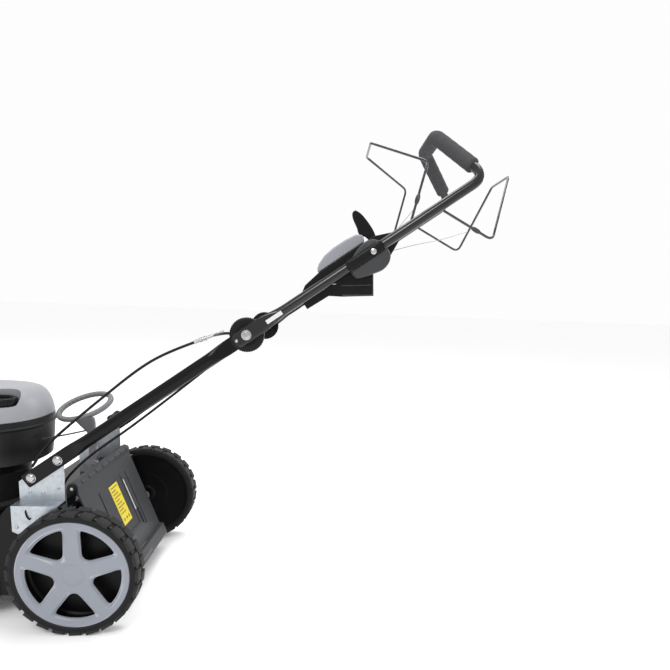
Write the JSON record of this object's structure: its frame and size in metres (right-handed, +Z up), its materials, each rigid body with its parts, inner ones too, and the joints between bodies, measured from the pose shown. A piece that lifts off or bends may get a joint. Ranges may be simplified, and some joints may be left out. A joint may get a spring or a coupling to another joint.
{
  "type": "push lawn mower",
  "caption": "Walk-behind petrol lawn mower with large rear wheels, rear guard, wire bails and a folding handle with an angle joint.",
  "frame": {"origin": "on the ground, under the middle of the whole machine's box", "axes": "+X towards the operator, +Y to the right of someone facing the operator's handle from the front, +Z up"},
  "size_m": [1.6471, 0.54, 1.1335],
  "materials": {
    "black_paint": "gloss black powder coat",
    "galvanised_steel": "zinc plated, lightly spangled",
    "bright_steel": "bright plated",
    "cast_aluminium": "as cast",
    "light_grey_plastic": "moulded, fine texture",
    "dark_grey_plastic": "moulded, fine texture",
    "black_plastic": "moulded, satin",
    "tyre_rubber": "matt",
    "rubber": "matt",
    "foam": "closed-cell foam, matt",
    "cable_sheath": "smooth sheath"
  },
  "bodies": {
    "chassis": {"deck": "black_paint", "front_cradle": "black_paint", "front_nose": "dark_grey_plastic", "front_axle": "bright_steel", "rear_axle": "bright_steel", "drive_gearbox": "cast_aluminium", "drive_belt": "rubber", "crankcase": "cast_aluminium", "cylinder": "cast_aluminium", "muffler": "bright_steel", "air_filter": "black_plastic", "engine_shroud": "black_plastic", "recoil_starter": "black_plastic", "engine_cover": "light_grey_plastic", "handle_bracket_left": "galvanised_steel", "handle_bracket_right": "galvanised_steel", "lower_handle_left": "black_paint", "lower_handle_right": "black_paint", "bracket_bolts_left": "bright_steel", "bracket_bolts_right": "bright_steel", "flap_rod": "bright_steel", "height_quadrant": "galvanised_steel", "rope_guide": "black_plastic", "starter_rope": "rubber", "drive_cable_lower": "cable_sheath", "brake_cable_lower": "cable_sheath"},
    "handle": {"upper_handle": "black_paint", "foam_grip": "foam", "angle_disc_left": "black_plastic", "angle_disc_right": "black_plastic", "angle_bolt_left": "bright_steel", "angle_bolt_right": "bright_steel", "console": "black_plastic", "console_rim": "light_grey_plastic", "tube_cover_left": "dark_grey_plastic", "tube_cover_right": "dark_grey_plastic", "drive_cable_upper": "cable_sheath", "brake_cable_upper": "cable_sheath"},
    "drive_bail": {"drive_bail": "bright_steel"},
    "brake_bail": {"brake_bail": "bright_steel"},
    "throttle_lever": {"throttle_lever": "black_plastic"},
    "rear_flap": {"rear_flap": "dark_grey_plastic"},
    "height_lever": {"height_lever": "light_grey_plastic"},
    "fuel_cap": {"fuel_cap": "black_plastic"},
    "oil_dipstick": {"oil_dipstick": "black_plastic"},
    "starter_handle": {"starter_handle": "black_plastic"},
    "crank": {"crankshaft": "bright_steel", "flywheel": "cast_aluminium", "blade": "bright_steel", "blade_bolt": "bright_steel"},
    "rear_wheel_left": {"rear_tyre_left": "tyre_rubber", "rear_wheel_body_left": "black_plastic", "rear_wheel_cover_left": "light_grey_plastic"},
    "front_wheel_left": {"front_tyre_left": "tyre_rubber", "front_wheel_left": "light_grey_plastic"},
    "rear_wheel_right": {"rear_tyre_right": "tyre_rubber", "rear_wheel_body_right": "black_plastic", "rear_wheel_cover_right": "light_grey_plastic"},
    "front_wheel_right": {"front_tyre_right": "tyre_rubber", "front_wheel_right": "light_grey_plastic"}
  },
  "joints": [
    {"name": "handle_angle", "type": "hinge", "parent": "chassis", "child": "handle", "pos_m": [0.23243, 0, 0.661], "axis": [0, -1, 0], "range_deg": [-60, 30]},
    {"name": "drive_bail_pivot", "type": "hinge", "parent": "handle", "child": "drive_bail", "pos_m": [0.641, 0, 0.94922], "axis": [0, -1, 0], "range_deg": [0, 57], "stiffness_Nm_per_rad": 0.4, "springref_deg": -34.38},
    {"name": "brake_bail_pivot", "type": "hinge", "parent": "handle", "child": "brake_bail", "pos_m": [0.57972, 0, 0.90598], "axis": [0, 1, 0], "range_deg": [0, 33], "stiffness_Nm_per_rad": 0.5, "springref_deg": -34.38},
    {"name": "throttle_pivot", "type": "hinge", "parent": "handle", "child": "throttle_lever", "pos_m": [0.52333, -0.056, 0.86621], "axis": [0, 1, 0], "range_deg": [0, 25]},
    {"name": "rear_flap_hinge", "type": "hinge", "parent": "chassis", "child": "rear_flap", "pos_m": [-0.16157, 0, 0.297], "axis": [0, -1, 0], "range_deg": [0, 85], "stiffness_Nm_per_rad": 0.4, "springref_deg": -34.38},
    {"name": "height_lever_pivot", "type": "hinge", "parent": "chassis", "child": "height_lever", "pos_m": [-0.19557, 0.03, 0.29], "axis": [0, 1, 0], "range_deg": [0, 24]},
    {"name": "fuel_cap_turn", "type": "hinge", "parent": "chassis", "child": "fuel_cap", "pos_m": [-0.35557, -0.07, 0.4663], "axis": [0, 0, 1], "range_deg": [0, 90]},
    {"name": "oil_dipstick_turn", "type": "hinge", "parent": "chassis", "child": "oil_dipstick", "pos_m": [-0.41357, -0.1145, 0.2156], "axis": [0, 0, 1], "range_deg": [0, 90]},
    {"name": "starter_pull", "type": "slide", "parent": "chassis", "child": "starter_handle", "axis": [0.6027, -0.1507, 0.7836], "range_m": [0, 0.5], "stiffness_N_per_m": 12, "springref_m": -0.25},
    {"name": "crank_spin", "type": "hinge", "parent": "chassis", "child": "crank", "pos_m": [-0.45357, 0, 0.2], "axis": [0, 0, 1], "continuous": true},
    {"name": "rear_wheel_left_spin", "type": "hinge", "parent": "chassis", "child": "rear_wheel_left", "pos_m": [-0.12357, -0.246, 0.14], "axis": [0, 1, 0], "continuous": true},
    {"name": "front_wheel_left_spin", "type": "hinge", "parent": "chassis", "child": "front_wheel_left", "pos_m": [-0.72357, -0.2485, 0.1], "axis": [0, 1, 0], "continuous": true},
    {"name": "rear_wheel_right_spin", "type": "hinge", "parent": "chassis", "child": "rear_wheel_right", "pos_m": [-0.12357, 0.246, 0.14], "axis": [0, 1, 0], "continuous": true},
    {"name": "front_wheel_right_spin", "type": "hinge", "parent": "chassis", "child": "front_wheel_right", "pos_m": [-0.72357, 0.2485, 0.1], "axis": [0, 1, 0], "continuous": true}
  ]
}
